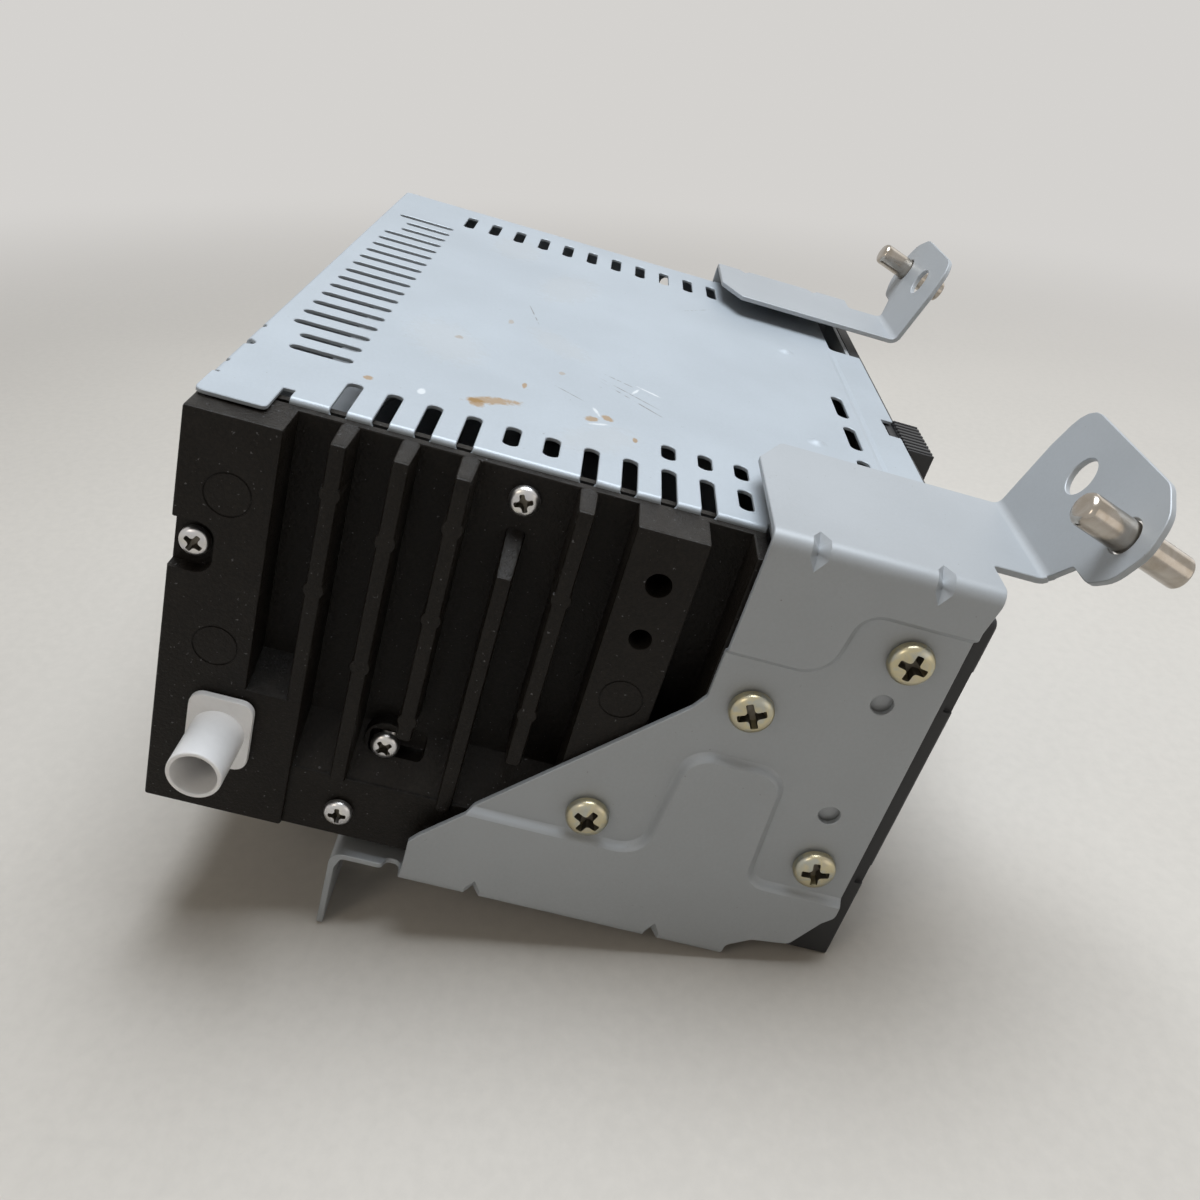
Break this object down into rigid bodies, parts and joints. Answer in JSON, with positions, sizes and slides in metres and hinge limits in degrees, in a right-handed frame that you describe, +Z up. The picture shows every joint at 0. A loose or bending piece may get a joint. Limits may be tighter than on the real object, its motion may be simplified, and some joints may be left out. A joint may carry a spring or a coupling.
{
  "type": "car cd radio",
  "caption": "Dashboard car radio with a slot loading disc player: folded steel case, finned side casting, perforated cover, bolt-on side brackets with ears and pins, keys and knobs in front.",
  "frame": {"origin": "middle of the underside of the steel case", "axes": "+X to the right as the driver sees the unit, +Y to its rear, +Z up; the controls face -Y"},
  "size_m": [0.1992, 0.1582, 0.1311],
  "materials": {
    "sheet_steel": "pale zinc coated sheet, satin, lightly marked",
    "case_steel": "zinc coated sheet, satin",
    "black_casting": "black satin casting, slightly grained",
    "gold_zinc": "yellow passivated zinc, bright",
    "bright_zinc": "clear zinc, bright",
    "nickel": "nickel plated, bright",
    "white_plastic": "semi gloss",
    "black_plastic": "fine grained",
    "soft_black": "soft painted",
    "roller_rubber": "matt",
    "felt": "short pile felt",
    "circuit_board": "green solder mask",
    "dark_lens": "polished smoked lens",
    "grey_plastic": "moulded"
  },
  "bodies": {
    "chassis": {"heat_sink": "black_casting", "heat_sink_screw_1": "bright_zinc", "heat_sink_screw_2": "bright_zinc", "heat_sink_screw_3": "bright_zinc", "heat_sink_screw_4": "bright_zinc", "case": "case_steel", "tuner_can": "case_steel", "deck_frame": "case_steel", "traverse_plate": "case_steel", "spindle_motor": "case_steel", "sled_motor": "case_steel", "loading_motor": "case_steel", "top_cover": "sheet_steel", "left_bracket": "sheet_steel", "right_bracket": "sheet_steel", "left_locating_pin": "nickel", "right_locating_pin": "nickel", "antenna_contact": "nickel", "guide_rod": "nickel", "left_bracket_screw_1": "gold_zinc", "left_bracket_screw_2": "gold_zinc", "left_bracket_screw_3": "gold_zinc", "left_bracket_screw_4": "gold_zinc", "right_bracket_screw_1": "gold_zinc", "right_bracket_screw_2": "gold_zinc", "right_bracket_screw_3": "gold_zinc", "right_bracket_screw_4": "gold_zinc", "antenna_socket": "white_plastic", "front_fascia": "black_plastic", "front_connector": "black_plastic", "disc_guide": "black_plastic", "display_lens": "dark_lens", "front_board": "circuit_board", "main_board": "circuit_board", "slot_felt": "felt", "harness_socket": "grey_plastic"},
    "preset_button_1": {"preset_button_1": "soft_black"},
    "preset_button_2": {"preset_button_2": "soft_black"},
    "preset_button_3": {"preset_button_3": "soft_black"},
    "preset_button_4": {"preset_button_4": "soft_black"},
    "preset_button_5": {"preset_button_5": "soft_black"},
    "preset_button_6": {"preset_button_6": "soft_black"},
    "seek_down_button": {"seek_down_button": "soft_black"},
    "band_button": {"band_button": "soft_black"},
    "menu_button": {"menu_button": "soft_black"},
    "seek_up_button": {"seek_up_button": "soft_black"},
    "power_button": {"power_button": "soft_black"},
    "eject_button": {"eject_button": "soft_black"},
    "volume_knob": {"volume_knob": "soft_black"},
    "tuning_knob": {"tuning_knob": "soft_black"},
    "turntable": {"turntable": "soft_black"},
    "clamp_arm": {"clamp_arm": "case_steel"},
    "clamper": {"clamper": "soft_black"},
    "roller_arm": {"roller_arm": "case_steel"},
    "feed_roller": {"feed_roller": "roller_rubber"},
    "idler_gear": {"idler_gear": "white_plastic"},
    "motor_pinion": {"motor_pinion": "white_plastic"},
    "pickup_sled": {"pickup_sled": "black_plastic"},
    "objective_lens": {"objective_lens": "dark_lens"},
    "lead_screw": {"lead_screw": "nickel"}
  },
  "joints": [
    {"name": "volume_knob_turn", "type": "hinge", "parent": "chassis", "child": "volume_knob", "pos_m": [-0.052, -0.072, 0.022], "axis": [0, 1, 0], "continuous": true},
    {"name": "tuning_knob_turn", "type": "hinge", "parent": "chassis", "child": "tuning_knob", "pos_m": [0.052, -0.072, 0.022], "axis": [0, 1, 0], "continuous": true},
    {"name": "preset_button_1_press", "type": "slide", "parent": "chassis", "child": "preset_button_1", "axis": [0, 1, 0], "range_m": [0, 0.0006], "stiffness_N_per_m": 400, "springref_m": -0.0005},
    {"name": "preset_button_2_press", "type": "slide", "parent": "chassis", "child": "preset_button_2", "axis": [0, 1, 0], "range_m": [0, 0.0006], "stiffness_N_per_m": 400, "springref_m": -0.0005},
    {"name": "preset_button_3_press", "type": "slide", "parent": "chassis", "child": "preset_button_3", "axis": [0, 1, 0], "range_m": [0, 0.0006], "stiffness_N_per_m": 400, "springref_m": -0.0005},
    {"name": "preset_button_4_press", "type": "slide", "parent": "chassis", "child": "preset_button_4", "axis": [0, 1, 0], "range_m": [0, 0.0006], "stiffness_N_per_m": 400, "springref_m": -0.0005},
    {"name": "preset_button_5_press", "type": "slide", "parent": "chassis", "child": "preset_button_5", "axis": [0, 1, 0], "range_m": [0, 0.0006], "stiffness_N_per_m": 400, "springref_m": -0.0005},
    {"name": "preset_button_6_press", "type": "slide", "parent": "chassis", "child": "preset_button_6", "axis": [0, 1, 0], "range_m": [0, 0.0006], "stiffness_N_per_m": 400, "springref_m": -0.0005},
    {"name": "seek_down_button_press", "type": "slide", "parent": "chassis", "child": "seek_down_button", "axis": [0, 1, 0], "range_m": [0, 0.0006], "stiffness_N_per_m": 400, "springref_m": -0.0005},
    {"name": "band_button_press", "type": "slide", "parent": "chassis", "child": "band_button", "axis": [0, 1, 0], "range_m": [0, 0.0006], "stiffness_N_per_m": 400, "springref_m": -0.0005},
    {"name": "menu_button_press", "type": "slide", "parent": "chassis", "child": "menu_button", "axis": [0, 1, 0], "range_m": [0, 0.0006], "stiffness_N_per_m": 400, "springref_m": -0.0005},
    {"name": "seek_up_button_press", "type": "slide", "parent": "chassis", "child": "seek_up_button", "axis": [0, 1, 0], "range_m": [0, 0.0006], "stiffness_N_per_m": 400, "springref_m": -0.0005},
    {"name": "power_button_press", "type": "slide", "parent": "chassis", "child": "power_button", "axis": [0, 1, 0], "range_m": [0, 0.0006], "stiffness_N_per_m": 400, "springref_m": -0.0005},
    {"name": "eject_button_press", "type": "slide", "parent": "chassis", "child": "eject_button", "axis": [0, 1, 0], "range_m": [0, 0.0006], "stiffness_N_per_m": 400, "springref_m": -0.0005},
    {"name": "turntable_spin", "type": "hinge", "parent": "chassis", "child": "turntable", "pos_m": [0, 0, 0.062], "axis": [0, 0, 1], "continuous": true},
    {"name": "clamp_arm_lift", "type": "hinge", "parent": "chassis", "child": "clamp_arm", "pos_m": [0, 0.051, 0.0676], "axis": [-1, 0, 0], "range_deg": [0, 5]},
    {"name": "clamper_spin", "type": "hinge", "parent": "clamp_arm", "child": "clamper", "pos_m": [0, 0, 0.068], "axis": [0, 0, 1], "continuous": true},
    {"name": "roller_arm_lift", "type": "hinge", "parent": "chassis", "child": "roller_arm", "pos_m": [0, -0.03978, 0.05349], "axis": [-1, 0, 0], "range_deg": [0, 7.2]},
    {"name": "feed_roller_turn", "type": "hinge", "parent": "roller_arm", "child": "feed_roller", "pos_m": [0, -0.052, 0.0573], "axis": [1, 0, 0], "continuous": true},
    {"name": "idler_gear_turn", "type": "hinge", "parent": "chassis", "child": "idler_gear", "pos_m": [-0.0685, -0.03978, 0.05349], "axis": [1, 0, 0], "continuous": true},
    {"name": "motor_pinion_turn", "type": "hinge", "parent": "chassis", "child": "motor_pinion", "pos_m": [-0.0685, -0.03626, 0.04381], "axis": [1, 0, 0], "continuous": true},
    {"name": "pickup_sled_travel", "type": "slide", "parent": "chassis", "child": "pickup_sled", "axis": [1, 0, 0], "range_m": [0, 0.034]},
    {"name": "lead_screw_turn", "type": "hinge", "parent": "chassis", "child": "lead_screw", "pos_m": [0.04, -0.016, 0.0603], "axis": [1, 0, 0], "range_deg": [0, 4085]},
    {"name": "objective_lens_focus", "type": "slide", "parent": "pickup_sled", "child": "objective_lens", "axis": [0, 0, 1], "range_m": [-0.0003, 0.0003], "stiffness_N_per_m": 40}
  ],
  "couplings": [
    {"joint": "clamper_spin", "follows": "turntable_spin", "ratio": 1},
    {"joint": "roller_arm_lift", "follows": "clamp_arm_lift", "ratio": 1.43},
    {"joint": "idler_gear_turn", "follows": "feed_roller_turn", "ratio": -0.78947},
    {"joint": "motor_pinion_turn", "follows": "feed_roller_turn", "ratio": 1.875},
    {"joint": "lead_screw_turn", "follows": "pickup_sled_travel", "rad_per_m": 2094.4}
  ]
}
